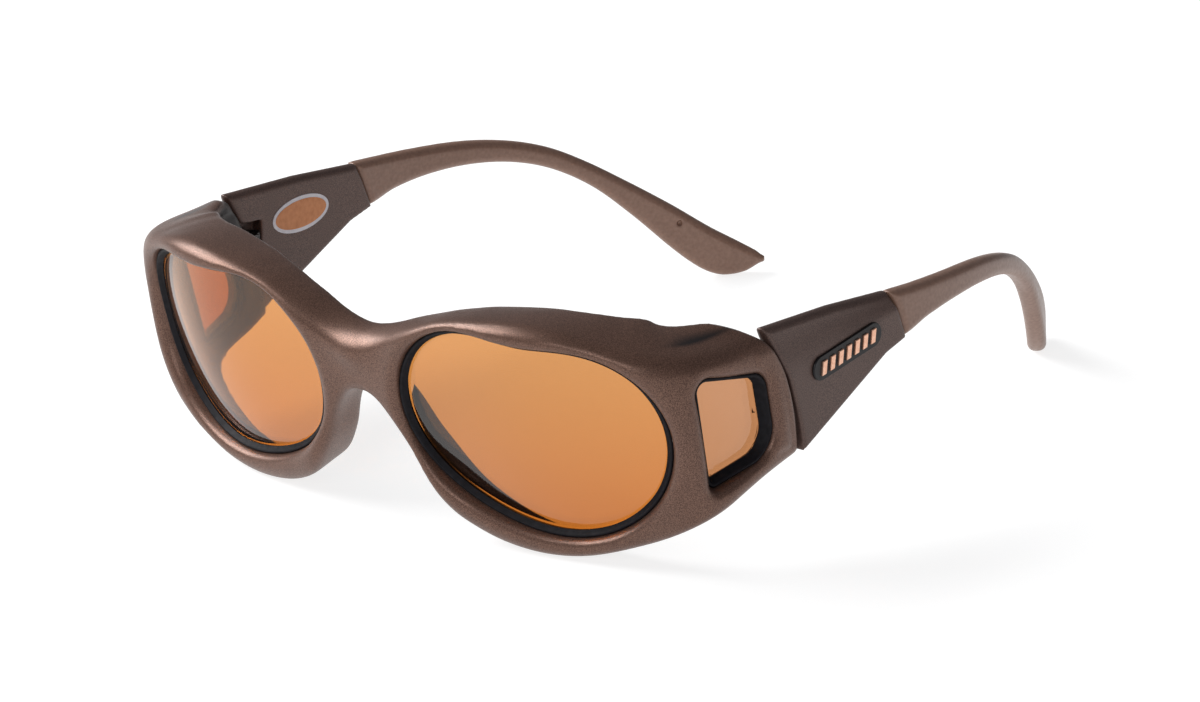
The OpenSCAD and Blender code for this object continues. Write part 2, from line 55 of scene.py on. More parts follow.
# Degrees that the front turns, and between which lengths from the bridge it does so
FRONT_TURN, FRONT_TURN_SPAN = 34.0, (22, 72)
CORNER_TURN, CORNER_TURN_SPAN = 54.0, (62, 86)
# Where the wall goes from the rim's to the shield's
WALL_SPAN = (62, 76)
CROWN_RADIUS = 95.0
LENS_PLACE = (13.0, 26.0)
FACE_BACK = -1.8
LENS_MID = (39.62, 0.55)
LENS_RADIUS = 24.96
LENS_OVAL = 4.4
LENS_TILT = -0.94
LENS_EGG = 0.84
LENS_RECESS = 2.2
LENS_THICK = 1.8
WINDOW_MID = (82.9, -1.2)
WINDOW_SIZE = (18.4, 22.2)
SIDE_RECESS = 3.4
SIDE_THICK = 1.6
SEAL_WALL = 0.7
# How far the seals stay below the outer face at the lenses and windows, and the inner one
SEAL_RECESS = (0.9, 1.0)
SEAL_SHY = 0.05
FIT_GAP = 0.03
SIDE_X = 71.4
ARM_THICK = 4.2
ARM_TOP = 45.2
ARM_HEIGHT = 25.8
ARM_LENGTH = 37.0
ARM_START = 47.4
ARM_CROWN = 0.3
# The step at the rear of the arm's lower edge: how long and how far down
FOOT = (6, 1.5)
JOINT_Y = ARM_START + ARM_LENGTH
JOINT_LEAN = 3.4
REAR_THICK = 3.8
REAR_BEND = 122.0
TOE_IN = math.radians(0.8)
REAR_LENGTH = 91.0
REAR_X = SIDE_X - REAR_THICK / 2 - 0.2
# The hinge: how far its pin lies outside the arm's inner face, and where the pin is
PIN_DEPTH = 0.4
HINGE_AT = (SIDE_X - ARM_THICK + PIN_DEPTH, 50.6, 32.0)
HINGE_LEAN = math.radians(5)
# The front leaf's thickness, and how far inward of the pin its inner face lies
LEAF_THICK = 1.1
LEAF_INNER = 2.65
# Space for the hinge in the front: boxes seen from the pin, and the radius and half
# height of the space round its knuckles
HINGE_SEATS = (((-7, -4.5, -4.4), (-1.5, 2, 4.4)), ((-7, -3.1, -4.4), (-0.65, 2, 4.4)))
BARREL_ROOM = (2.1, 4.4)
# Recess for the hinge in the arm, as a box seen from the pin
ARM_RECESS = ((-5, -10, -6.3), (2.1, 2.7, 6.3))
# Rounded block that carries the hinge: half sizes, how far it is in front of the pin,
# the height of its middle, and its lean
BLOCK_HALF = (2.6, 2.6, 10.2)
BLOCK_FORWARD = 5
BLOCK_Z = 31.5
BLOCK_LEAN = 0.2
BLOCK_ROUND = 1.2

LOWER = [[0, 3], [4, 1.9], [8.4, -3.3], [13.1, -12.2], [19.2, -19.8], [29.6, -24.3],
         [44, -25], [60, -21.4], [75, -17.2], [97, -16.4]]
BROW = [[0, 14.7], [4, 15], [8, 16.1], [12, 17.8], [17, 19.8], [22, 21.6], [30, 23.2],
        [40, 23.9], [48, 23.2], [55, 21.4], [62, 19], [70, 16.6], [81, 14], [90, 12], [97, 11]]
BROW_OUT = [[0, 1.2], [4, 0.8], [8, 0.6], [12, 1], [17, 1.6], [25, 1.9], [40, 1.6],
            [65, 1.2], [80, 0.3], [97, 0]]
FACE_OUT = [[0, 0], [11, 0.8], [16, 2.1], [24, 2], [44, 1.6], [60, 2.1], [72, 2.4], [82, 0.6], [97, 0]]
SHELF = [[0, 14], [4, 14.7], [8, 15.9], [12, 17.2], [17, 18.5], [22, 19.6], [30, 20.5],
         [45, 20.8], [55, 20.2], [62, 18.9], [70, 17.8], [80, 16.8], [90, 14.6], [97, 13]]
SHELF_DEPTH = [[0, 7.6], [4, 7.6], [8, 7.9], [12, 8.5], [17, 9.3], [22, 10.4], [30, 12.3],
               [42, 13.6], [55, 13.4], [65, 14.3], [75, 14.2], [85, 11], [92, 7.2], [97, 6.6]]
BROW_ROUND = [[0, 3.6], [10, 2.6], [45, 2.6], [60, 3], [97, 3]]
LIP_STRETCH = [[0, 1], [4, 1.3], [9, 1.9], [14, 2], [20, 1.4], [30, 1.1], [44, 1]]
LIP = [[0, 9.2], [14, 9.8], [44, 8.2], [75, 6.6], [90, 5.9], [97, 4.8]]
SEAM = [[13, 54.2], [24, 52.2], [33, 50], [38.5, 47.9], [42.5, 45.2], [45.2, 42.2], [49, 36]]
ARM_FRONT = [[18, 53.9], [33, 50.8], [40, 47.6], [44, 45.5], [46.4, 45]]
BRIDGE_DEPTH = [[0, 3.4], [4, 2.6], [8, 0.8], [11, 0]]
REAR_TOP = [[0, 42.2], [10, 41.2], [26, 39.6], [37, 37.4], [46, 34.3], [54, 30], [63, 24.2],
            [72, 18.1], [80, 12.3], [86, 8.6], [89.5, 6.5], [91, 5.3]]
REAR_LOW = [[0, 32.6], [8, 34.2], [17, 34.9], [27, 34.6], [37, 33], [46, 29.9], [55, 24.5],
            [63, 17.4], [72, 8.4], [77, 4.2], [80.5, 2.4], [83.5, 2], [87, 2.4], [91, 4]]


# ---------------------------------------------------------------- curves and the wrapped surface
def curve(knots, t):
    """Smooth curve through the knots, level beyond its ends."""
    k = np.array(knots, float)
    slope = np.zeros(len(k))
    slope[1:-1] = (k[2:, 1] - k[:-2, 1]) / (k[2:, 0] - k[:-2, 0])
    t = np.clip(np.asarray(t, float), k[0, 0], k[-1, 0])
    i = np.clip(np.searchsorted(k[:, 0], t, side="right") - 1, 0, len(k) - 2)
    w = k[i + 1, 0] - k[i, 0]
    s = (t - k[i, 0]) / w
    a = 2 * s**3 - 3 * s**2 + 1
    return (a * k[i, 1] + (s**3 - 2 * s**2 + s) * w * slope[i]
            + (1 - a) * k[i + 1, 1] + (s**3 - s**2) * w * slope[i + 1])


def ease(a, b, t):
    k = np.clip((np.asarray(t, float) - a) / (b - a), 0, 1)
    return k * k * (3 - 2 * k)


def heading(u):
    return FRONT_TURN * ease(*FRONT_TURN_SPAN, u) + CORNER_TURN * ease(*CORNER_TURN_SPAN, u)


PLAN_U = np.arange(0, 136.0)
_mid = np.radians(heading(PLAN_U[:-1] + 0.5))
PLAN_X = np.concatenate([[0], np.cumsum(np.cos(_mid))])
PLAN_Y = np.concatenate([[0], np.cumsum(np.sin(_mid))])


def rear_point(s, off, z):
    t = np.maximum(s, 0) / REAR_BEND
    return np.stack([REAR_X - REAR_BEND * (1 - np.cos(t)) + off * np.cos(t),
                     JOINT_Y + np.minimum(s, 0) + REAR_BEND * np.sin(t) + off * np.sin(t),
                     z + 0 * s], -1)


def toe_in(p):
    """Points of the left temple turned about the hinge pin to their place at rest."""
    c, s = math.cos(HINGE_LEAN), math.sin(HINGE_LEAN)
    d = np.asarray(p, float) - np.array(HINGE_AT)
    y, z = d[..., 1] * c - d[..., 2] * s, d[..., 1] * s + d[..., 2] * c
    x, y = (d[..., 0] * math.cos(TOE_IN) - y * math.sin(TOE_IN),
            d[..., 0] * math.sin(TOE_IN) + y * math.cos(TOE_IN))
    return np.stack([x, y * c + z * s, z * c - y * s], -1) + np.array(HINGE_AT)


def skin(u, v, h):
    """Point of the front: u along it from the bridge, v up, h outward."""
    a = np.abs(u)
    t = np.radians(heading(a))
    out = h - v * v / (2 * CROWN_RADIUS)
    x = np.where(np.asarray(u) < 0, -1, 1) * (np.interp(a, PLAN_U, PLAN_X) + np.sin(t) * out)
    y = np.interp(a, PLAN_U, PLAN_Y) + FACE_BACK - np.cos(t) * out
    c, s = math.cos(FRONT_LEAN), math.sin(FRONT_LEAN)
    return np.stack([x, y * c - v * s + LENS_PLACE[0], y * s + v * c + LENS_PLACE[1]], -1)


def wall_at(u):
    return RIM_WALL + (SHIELD_WALL - RIM_WALL) * ease(*WALL_SPAN, u)


def front_section(u):
    """Cross-section of the front at u, a closed outline of [v, h] points."""
    lo, top, r = float(curve(LOWER, u)), float(curve(BROW, u)), float(curve(BROW_ROUND, u))
    b, d = float(curve(BROW_OUT, u)), float(curve(SHELF_DEPTH, u))
    w = float(wall_at(u) + curve(BRIDGE_DEPTH, u))
    lip, st = float(curve(LIP, u)), float(curve(SHELF, u))
    low, in_top = lo + LOWER_ROUND, min(top - CORNER_FILL, st - SHELF_FILL)
    in_low = lo + SHELF_WALL * float(curve(LIP_STRETCH, u))
    arc = math.pi / 2 - math.atan2(max(0, (st - top) / 2 + SHELF_CROWN), (b - r + d) / 2)
    f = float(curve(FACE_OUT, u))
    points = [[lo, -lip], [lo, f - LOWER_ROUND]]
    points += [[low + (top - r - low) * t, f + (b - f) * t * t] for t in np.linspace(0, 0.92, 8)]
    points += [[top - r + r * math.sin(t), b - r + r * math.cos(t)]
               for t in np.linspace(0, arc, 7)]
    points += [[top + (st - top) * t + 4 * SHELF_CROWN * t * (1 - t), b - r + (r - b - d) * t]
               for t in np.linspace(0.25, 1, 6)]
    points += [[st - SHELF_WALL, -d], [in_top, -w], [in_low, -w], [in_low, -lip]]
    return np.array(points)


FRONT_POINTS = np.concatenate([skin(u, *front_section(u).T) for u in np.arange(0, 61, 2.0)])
FLOOR_Z = FRONT_POINTS[:, 2].min()
REAR_Y = float(toe_in(rear_point(np.array(REAR_LENGTH), REAR_THICK / 4, HINGE_AT[2]))[1])
SHIFT = np.array([0, (FRONT_POINTS[:, 1].min() + REAR_Y) / 2, FLOOR_Z])


def to_frame(points):
    """Layout millimetres to metres in the shared frame."""
    return (np.asarray(points, float) - SHIFT) / 1000


def lens_edge(inset, n=160):
    """Egg-shaped opening, its edge moved inward by the inset."""
    t = np.linspace(0, 2 * np.pi, n, endpoint=False)
    r = (LENS_RADIUS + LENS_OVAL * np.cos(2 * t) + LENS_TILT * np.sin(2 * t)
         + LENS_EGG * np.sin(3 * t) - inset)
    return np.stack([LENS_MID[0] + r * np.cos(t), LENS_MID[1] + r * np.sin(t)], -1)


def window_edge(inset, n=16):
    """Four-sided opening; each corner is [u, v, radius, first angle, last angle]."""
    l, k = WINDOW_SIZE[0] / 2, WINDOW_SIZE[1] / 2
    corners = [[l - 4.6, k - 8.7, 4.5, 2, 52], [-l + 4, k - 2.7, 2.8, 62, 168],
               [-l + 1.9, -k + 2, 1.9, 186, 268], [l - 6.5, -k + 6.2, 6.1, 272, 352]]
    points = []
    for u, v, r, a0, a1 in corners:
        t = np.radians(np.linspace(a0, a1, n))
        points.append(np.stack([u + (r - inset) * np.cos(t), v + (r - inset) * np.sin(t)], -1))
    return np.concatenate(points) + np.array(WINDOW_MID)


# ---------------------------------------------------------------- distance fields and meshing
def outline_distance(px, py, outline):
    """Signed distance from points to a closed outline, negative inside."""
    best = np.full(np.broadcast(px, py).shape, 1e9)
    inside = np.zeros(best.shape, bool)
    for a, b in zip(outline, np.roll(outline, -1, axis=0)):
        d = b - a
        length = d @ d
        if length < 1e-12:
            continue
        t = np.clip(((px - a[0]) * d[0] + (py - a[1]) * d[1]) / length, 0, 1)
        best = np.minimum(best, (px - a[0] - t * d[0]) ** 2 + (py - a[1] - t * d[1]) ** 2)
        if a[1] != b[1]:
            crosses = ((a[1] > py) != (b[1] > py)) & (px < d[0] * (py - a[1]) / d[1] + a[0])
            inside ^= crosses
    return np.where(inside, -1, 1) * np.sqrt(best)


def smooth_max(a, b, k):
    h = np.clip(0.5 + 0.5 * (a - b) / k, 0, 1)
    return b + (a - b) * h + k * h * (1 - h)


def smooth_min(a, b, k):
    return -smooth_max(-a, -b, k)


def blur(field, sigma):
    """Gaussian blur along all three axes, sigma in cells."""
    radius = int(3 * sigma + 0.5)
    x = np.arange(-radius, radius + 1)
    kernel = np.exp(-x * x / (2 * sigma * sigma))
    kernel /= kernel.sum()
    for axis in range(3):
        padded = np.pad(field, [(radius, radius) if i == axis else (0, 0) for i in range(3)], "edge")
        total = 0
        for i, w in enumerate(kernel):
            part = [slice(None)] * 3
            part[axis] = slice(i, i + field.shape[axis])
            total = total + w * padded[tuple(part)]
        field = total
    return field


def sample(field, p):
    """Trilinear value of the field at index coordinates."""
    i = np.clip(np.floor(p).astype(int), 0, np.array(field.shape) - 2)
    f = p - i
    value = 0
    for dx in (0, 1):
        for dy in (0, 1):
            for dz in (0, 1):
                w = (np.abs(1 - dx - f[:, 0]) * np.abs(1 - dy - f[:, 1]) * np.abs(1 - dz - f[:, 2]))
                value = value + w * field[i[:, 0] + dx, i[:, 1] + dy, i[:, 2] + dz]
    return value


def surface_net(field, origin, step):
    """Quad mesh of the field's zero surface: points in the field's own space, and faces."""
    shape = np.array(field.shape) - 1
    total = np.zeros(tuple(shape) + (3,))
    count = np.zeros(tuple(shape))
    crossings = []
    for axis in range(3):
        lo = np.take(field, range(field.shape[axis] - 1), axis)
        hi = np.take(field, range(1, field.shape[axis]), axis)
        cross = (lo < 0) != (hi < 0)
        t = np.where(cross, lo / np.where(lo == hi, 1, lo - hi), 0)
        crossings.append((cross, lo < 0))
        others = [i for i in range(3) if i != axis]
        for d0 in (0, 1):
            for d1 in (0, 1):
                part = [slice(None)] * 3
                part[others[0]] = slice(d0, d0 + shape[others[0]])
                part[others[1]] = slice(d1, d1 + shape[others[1]])
                c = cross[tuple(part)]
                total[..., axis] += np.where(c, t[tuple(part)], 0)
                total[..., others[0]] += c * d0
                total[..., others[1]] += c * d1
                count += c
    active = count > 0
    index = np.full(tuple(shape), -1)
    index[active] = np.arange(active.sum())
    points = np.argwhere(active) + total[active] / count[active][:, None]
    faces = []
    for axis, (cross, low_inside) in enumerate(crossings):
        a, b = [(1, 2), (2, 0), (0, 1)][axis]
        e = np.argwhere(cross)
        e = e[(e[:, a] > 0) & (e[:, b] > 0) & (e[:, a] < shape[a]) & (e[:, b] < shape[b])]
        quad = []
        for da, db in ((1, 1), (0, 1), (0, 0), (1, 0)):
            q = e.copy()
            q[:, a] -= da
            q[:, b] -= db
            quad.append(index[q[:, 0], q[:, 1], q[:, 2]])
        quad = np.stack(quad, 1)
        flip = ~low_inside[e[:, 0], e[:, 1], e[:, 2]]
        quad[flip] = quad[flip][:, ::-1]
        faces.append(quad)
    for _ in range(2):
        value = sample(field, points)
        grad = np.stack([(sample(field, points + 0.5 * np.eye(3)[i])
                          - sample(field, points - 0.5 * np.eye(3)[i])) for i in range(3)], -1)
        size = np.maximum((grad**2).sum(1), 1e-6)
        points = points - np.clip(value / size, -1, 1)[:, None] * grad
    return np.asarray(origin) + points * step, np.concatenate(faces).tolist()


def make_piece(name, points, faces, material, body, slot, replaces=(), mirrored=False, smooth=True):
    """Mesh object from layout points, riding on a body and standing for CAD nodes."""
    points = to_frame(points)
    if mirrored:
        points = points * np.array([-1, 1, 1])
        faces = [f[::-1] for f in faces]
    mesh = bpy.data.meshes.new(name)
    mesh.from_pydata(points.tolist(), [], faces)
    mesh.polygons.foreach_set("use_smooth", [smooth] * len(mesh.polygons))
    mesh.update()
    piece = bpy.data.objects.new(name, mesh)
    bpy.context.scene.collection.objects.link(piece)
    piece.data.materials.append(material)
    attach(piece, body)
    if replaces:
        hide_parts(*replaces)
    return piece


# ---------------------------------------------------------------- the front moulding
FRONT_STEP = 0.45
# The grid's reach along u, v and h
FRONT_REACH = ((0, 100.5), (-28.5, 28.5), (-17.5, 5.0))
FRONT_BLUR = 0.8
# Rounding of the cuts: deep inside, how much more at the face, and the depths between
RIM_SOFT = (1.2, 1.6, -3.0, 1.5)
WINDOW_SOFT = (1.0, 1.4, -3.0, 0.5)
BLOCK_SOFT = 1.2
SEAM_SOFT = 0.9
SEAT_SOFT = 0.3
LENS_CUT_EXTRA = 0.3


def front_mesh():
    """Front moulding as points, faces and each point's share of the hollow inside, which gets painted
    shade.
    """
    step = FRONT_STEP
    u, v, h = (np.arange(low, high, step) for low, high in FRONT_REACH)
    vv, hh = np.meshgrid(v, h, indexing="ij")
    field = np.stack([outline_distance(vv, hh, front_section(min(a, SHIELD_END))) for a in u])
    full = np.concatenate([field[:0:-1], field])
    full = blur(full, FRONT_BLUR / step)
    field = full[len(u) - 1:]
    uu, v2 = np.meshgrid(u, v, indexing="ij")
    lens = outline_distance(uu, v2, lens_edge(0))[:, :, None]
    window = outline_distance(uu, v2, window_edge(0))[:, :, None]
    depth = h[None, None, :]
    lens_cut = np.maximum(lens, -depth - RIM_WALL - LENS_CUT_EXTRA)
    field = smooth_max(field, -lens_cut, rounding(RIM_SOFT, depth))
    place = skin(u[:, None, None], v[None, :, None], depth)
    block = block_distance(place)
    field = smooth_min(field, block, BLOCK_SOFT)
    field = smooth_max(field, -window, rounding(WINDOW_SOFT, depth))
    seam = place[..., 1] - curve(SEAM, place[..., 2])
    field = smooth_max(field, seam, SEAM_SOFT)
    local = hinge_space(place)
    seat = np.minimum(*(box_distance(local, *box) for box in HINGE_SEATS))
    barrel = np.maximum(np.hypot(local[..., 0], local[..., 1]) - BARREL_ROOM[0],
                        np.abs(local[..., 2]) - BARREL_ROOM[1])
    field = smooth_max(field, -np.minimum(seat, barrel), SEAT_SOFT)
    full = np.concatenate([field[:0:-1], field])
    points, faces = surface_net(full, (-u[-1], v[0], h[0]), step)
    along = np.abs(points[:, 0])
    high, low = curve(SHELF, along), curve(LOWER, along)
    # Share of the hollow inside, behind the wall and between the shelf and the lower edge: where painted
    # shade goes
    behind = ease(1.0, 2.2, -points[:, 2] - wall_at(along) + 2.4)
    centre = np.abs(points[:, 1] - (high + low) / 2)
    between = ease(-0.6, 0.4, (high - low) / 2 - centre - SHELF_WALL * 0.6)
    return skin(*points.T), faces, behind * between


def rounding(soft, depth):
    """Rounding of a cut at this depth: soft is [inside, more at the face, two depths]."""
    return soft[0] + soft[1] * ease(soft[2], soft[3], depth)


def hinge_space(p):
    """Points as seen from the left hinge, its pin upright."""
    p = p - np.array(HINGE_AT)
    c, s = math.cos(HINGE_LEAN), math.sin(HINGE_LEAN)
    return np.stack([p[..., 0], p[..., 1] * c - p[..., 2] * s, p[..., 1] * s + p[..., 2] * c], -1)


def block_distance(p):
    """Rounded block at the end of the shield, which carries the hinge."""
    inner = HINGE_AT[0] - LEAF_INNER + LEAF_THICK
    q = np.stack([p[..., 0] - (inner + BLOCK_HALF[0]),
                  p[..., 1] + (p[..., 2] - HINGE_AT[2]) * BLOCK_LEAN
                  - (HINGE_AT[1] - BLOCK_FORWARD), p[..., 2] - BLOCK_Z], -1)
    d = np.abs(q) - (np.array(BLOCK_HALF) - BLOCK_ROUND)
    return np.linalg.norm(np.maximum(d, 0), axis=-1) + np.minimum(d.max(-1), 0) - BLOCK_ROUND


# ---------------------------------------------------------------- plates on the wrapped surface
def plate_mesh(edge, h_front, h_back, loops, bevel=0.25):
    """Closed plate that follows the wrapped surface, with a bevelled rim."""
    n = len(edge)
    mid = (edge.max(0) + edge.min(0)) / 2
    rings = [(j / loops, h_front) for j in range(1, loops)]
    size = np.linalg.norm(edge - mid, axis=1).mean()
    rings += [(1 - bevel / size, h_front), (1, h_front - bevel), (1, h_back + bevel)]
    rings += [(1 - bevel / size, h_back)] + [(j / loops, h_back) for j in range(loops - 1, 0, -1)]
    points = [skin(mid[0], mid[1], h_front)[None]]
    for scale, h in rings:
        q = mid + (edge - mid) * scale
        points.append(skin(q[:, 0], q[:, 1], np.full(n, h)))
    points.append(skin(mid[0], mid[1], h_back)[None])
    faces = [[0, 1 + i, 1 + (i + 1) % n] for i in range(n)]
    for j in range(len(rings) - 1):
        a, b = 1 + j * n, 1 + (j + 1) * n
        faces += [[a + i, b + i, b + (i + 1) % n, a + (i + 1) % n] for i in range(n)]
    last, a = 1 + len(rings) * n, 1 + (len(rings) - 1) * n
    faces += [[a + i, last, a + (i + 1) % n] for i in range(n)]
    return np.concatenate(points), faces


def strip_mesh(edge, h_front, h_back, h_lens, lip=0.55, bevel=0.15):
    """Strip that lines an opening, with a small lip over the rim of the lens behind it."""
    outer, inside, over = edge(FIT_GAP), edge(SEAL_WALL + FIT_GAP), edge(SEAL_WALL + lip)
    n = len(outer)
    clear, tip, root = h_lens + 0.02, h_lens + 0.2, h_lens + 0.5
    corners = [(outer, h_front - bevel), (outer, h_back), (inside, h_back), (inside, clear),
               (over, clear), (over, tip), (inside, root), (inside, h_front - bevel),
               ((outer + inside) / 2, h_front)]
    points = np.concatenate([skin(c[:, 0], c[:, 1], np.full(n, h)) for c, h in corners])
    faces = []
    for j in range(len(corners)):
        a, b = j * n, (j + 1) % len(corners) * n
        faces += [[a + i, a + (i + 1) % n, b + (i + 1) % n, b + i] for i in range(n)]
    return points, faces


# ---------------------------------------------------------------- the temples
def rounded_slab(outline_d, across, half, r):
    """Distance to a flat piece with this outline distance, its edges rounded by r."""
    a = np.maximum(outline_d + r, 0)
    b = np.maximum(np.abs(across) - (half - r), 0)
    inner = np.minimum(np.maximum(outline_d + r, np.abs(across) - (half - r)), 0)
    return np.sqrt(a * a + b * b) + inner - r


def arm_outline():
    """Side view of the arm, as [y, z] points."""
    z = np.linspace(ARM_TOP - ARM_HEIGHT, ARM_TOP, 24)
    front = np.stack([curve(ARM_FRONT, z), z], -1)
    top, low = REAR_TOP[0][1], REAR_LOW[0][1]
    mid_y = (JOINT_Y + front[-1][0]) / 2
    back = [[mid_y, (ARM_TOP + top) / 2 + ARM_CROWN], [JOINT_Y - JOINT_LEAN, top],
            [JOINT_Y, low], [JOINT_Y - FOOT[0], low - FOOT[1]]]
    return np.concatenate([front, back])


def arm_height(y, z):
    """Height on the arm as a share, y from its rear joint: 0 at its lower edge, 1 at its top."""
    low = REAR_LOW[0][1] + y * (REAR_LOW[0][1] - (ARM_TOP - ARM_HEIGHT)) / ARM_LENGTH
    top = REAR_TOP[0][1] - y * (ARM_TOP - REAR_TOP[0][1]) / ARM_LENGTH
    return (z - low) / (top - low)


ARM_STEP = 0.35
# The grid's reach along x, y and z
ARM_REACH = ((SIDE_X - ARM_THICK - 1.5, SIDE_X + 1.5), (42, JOINT_Y + 2), (17, 49))
ARM_EDGE = 0.6
# How much the edge is rounder and the outer face leans in near the top
CREST_EDGE = 0.8
CREST_LEAN = 0.6


def arm_mesh():
    """Left arm as points and faces, turned to its place at rest."""
    step = ARM_STEP
    x, y, z = (np.arange(low, high, step) for low, high in ARM_REACH)
    yy, zz = np.meshgrid(y, z, indexing="ij")
    flat = outline_distance(yy, zz, arm_outline())[None]
    mid = SIDE_X - ARM_THICK / 2
    across = (x - mid)[:, None, None]
    height = arm_height(yy - JOINT_Y, zz)
    crest = ease(0.6, 1.0, height)[None]
    field = rounded_slab(flat, across + CREST_LEAN * crest, ARM_THICK / 2 - CREST_LEAN * crest,
                         ARM_EDGE + CREST_EDGE * crest)
    place = np.stack(np.broadcast_arrays(x[:, None, None], yy[None], zz[None]), -1)
    recess = box_distance(hinge_space(place), *ARM_RECESS)
    field = smooth_max(field, -recess, SEAT_SOFT)
    points, faces = surface_net(field, (x[0], y[0], z[0]), step)
    return toe_in(points), faces


def box_distance(p, low, high):
    low, high = np.array(low, float), np.array(high, float)
    d = np.abs(p - (low + high) / 2) - (high - low) / 2
    return np.linalg.norm(np.maximum(d, 0), axis=-1) + np.minimum(d.max(-1), 0)


REAR_STEP = 0.38
# The grid's reach along the rear end, up, and across it
REAR_REACH = ((-5, REAR_LENGTH + 2), (1, 45), (-3, 3.01))
REAR_EDGE = 1.6
# Moulding dimple near the tip: place along the end and height, radius and depth
DOT_AT = (73.0, 14.6)
DOT_RADIUS = 0.55
DOT_DEPTH = 0.7


def rear_mesh():
    """Left rear end as points and faces, made flat and then bent and turned."""
    step = REAR_STEP
    s, z, off = (np.arange(low, high, step) for low, high in REAR_REACH)
    t = np.linspace(0, REAR_LENGTH, 120)
    top = np.stack([t, curve(REAR_TOP, t)], -1)
    low = np.stack([t, curve(REAR_LOW, t)], -1)[::-1]
    ss, zz = np.meshgrid(s, z, indexing="ij")
    lean = JOINT_LEAN * (1 - ease(0, 12, ss)) * np.clip(
        (zz - REAR_LOW[0][1]) / (REAR_TOP[0][1] - REAR_LOW[0][1]), 0, 1)
    flat = outline_distance(ss + lean, zz, np.concatenate([top, low]))[:, :, None]
    half = REAR_THICK / 2 * (0.55 + 0.45 * ease(0, 9, REAR_LENGTH - ss))[:, :, None]
    across = off[None, None, :]
    field = rounded_slab(flat, across, half, REAR_EDGE)
    dot = np.hypot(ss - DOT_AT[0], zz - DOT_AT[1])[:, :, None] - DOT_RADIUS
    field = smooth_max(field, -np.maximum(dot, across + REAR_THICK / 2 - DOT_DEPTH), 0.25)
    points, faces = surface_net(field, (s[0], z[0], off[0]), step)
    return toe_in(rear_point(points[:, 0], points[:, 2], points[:, 1])), faces


# ---------------------------------------------------------------- trim
BADGE_AT = (JOINT_Y - 17.9, 35.1)
LABEL_AT = (JOINT_Y - 19.9, 36.5)
LABEL_SIZE = (15.5, 7.2)
BADGE_SLOPE = math.radians(7.8)
BADGE_SIZE = (20.0, 4.6)
PLATE_PROUD = 0.5
BAR_COUNT = 7
BAR_PROUD = 0.35
BAR_BEVEL = 0.12


def bevelled_plate(outline, base, height, bevel):
    """Flat plate on the outline, bevelled on its outer face; returns [y, z, out] points."""
    n = len(outline)
    mid = outline.mean(0)
    inset = outline + (mid - outline) / np.linalg.norm(outline - mid, axis=1)[:, None] * bevel
    rings = [(outline, base), (outline, base + height - bevel),
             ((outline + inset) / 2, base + height - 0.3 * bevel), (inset, base + height)]
    points = np.concatenate([np.column_stack([r, np.full(n, h)]) for r, h in rings])
    faces = []
    for j in range(3):
        a, b = j * n, (j + 1) * n
        faces += [[a + i, a + (i + 1) % n, b + (i + 1) % n, b + i] for i in range(n)]
    faces.append([3 * n + i for i in range(n)])
    faces.append([n - 1 - i for i in range(n)])
    return points, faces


def on_arm(points):
    """From badge space [y, z, out] to layout points on the outer side of the left arm."""
    c, s = math.cos(BADGE_SLOPE), math.sin(BADGE_SLOPE)
    y, z, out = points.T
    return toe_in(np.stack([SIDE_X + out, BADGE_AT[0] + y * c - z * s,
                            BADGE_AT[1] + y * s + z * c], -1))


def pill(length, height, n=20):
    """Outline of a bar with round ends."""
    r = height / 2
    t = np.linspace(-math.pi / 2, math.pi / 2, n)
    right = np.stack([length / 2 - r + r * np.cos(t), r * np.sin(t)], -1)
    return np.concatenate([right, -right])


def badge_bars():
    """The badge's slanted bars, in badge space."""
    points, faces = [], []
    for i in range(BAR_COUNT):
        y = (i - (BAR_COUNT - 1) / 2) * (BADGE_SIZE[0] - BADGE_SIZE[1]) / (BAR_COUNT - 0.6)
        z = BADGE_SIZE[1] / 2 - 1
        bar = np.array([[-1, -z], [0.2, -z], [1, z], [-0.2, z]]) + [y, 0]
        p, f = bevelled_plate(bar, PLATE_PROUD, BAR_PROUD, BAR_BEVEL)
        faces += [[k + sum(len(q) for q in points) for k in face] for face in f]
        points.append(p)
    return np.concatenate(points), faces


# ---------------------------------------------------------------- materials
def new_material(name):
    material = bpy.data.materials.new(name)
    material.use_nodes = True
    nodes = material.node_tree.nodes
    return material, nodes, material.node_tree.links, nodes["Principled BSDF"]


def noise(nodes, links, scale, detail, coords, roughness=0.5):
    node = nodes.new("ShaderNodeTexNoise")
    node.inputs["Scale"].default_value = scale
    node.inputs["Detail"].default_value = detail
    node.inputs["Roughness"].default_value = roughness
    links.new(coords.outputs["Object"], node.inputs["Vector"])
    return node


def ramp(nodes, links, source, low, high, color_low, color_high):
    node = nodes.new("ShaderNodeValToRGB")
    node.color_ramp.elements[0].position = low
    node.color_ramp.elements[1].position = high
    node.color_ramp.elements[0].color = (*color_low, 1)
    node.color_ramp.elements[1].color = (*color_high, 1)
    links.new(source, node.inputs["Fac"])
    return node


def multiply(nodes, links, first, second):
    node = nodes.new("ShaderNodeMix")
    node.data_type = "RGBA"
    node.blend_type = "MULTIPLY"
    node.inputs["Factor"].default_value = 1
    links.new(first, node.inputs["A"])
    links.new(second, node.inputs["B"])
    return node.outputs["Result"]


def bump(nodes, links, source, strength, distance, shader):
    node = nodes.new("ShaderNodeBump")
    node.inputs["Strength"].default_value = strength
    node.inputs["Distance"].default_value = distance
    links.new(source, node.inputs["Height"])
    links.new(node.outputs["Normal"], shader.inputs["Normal"])


def grey(value):
    return (value, value, value)


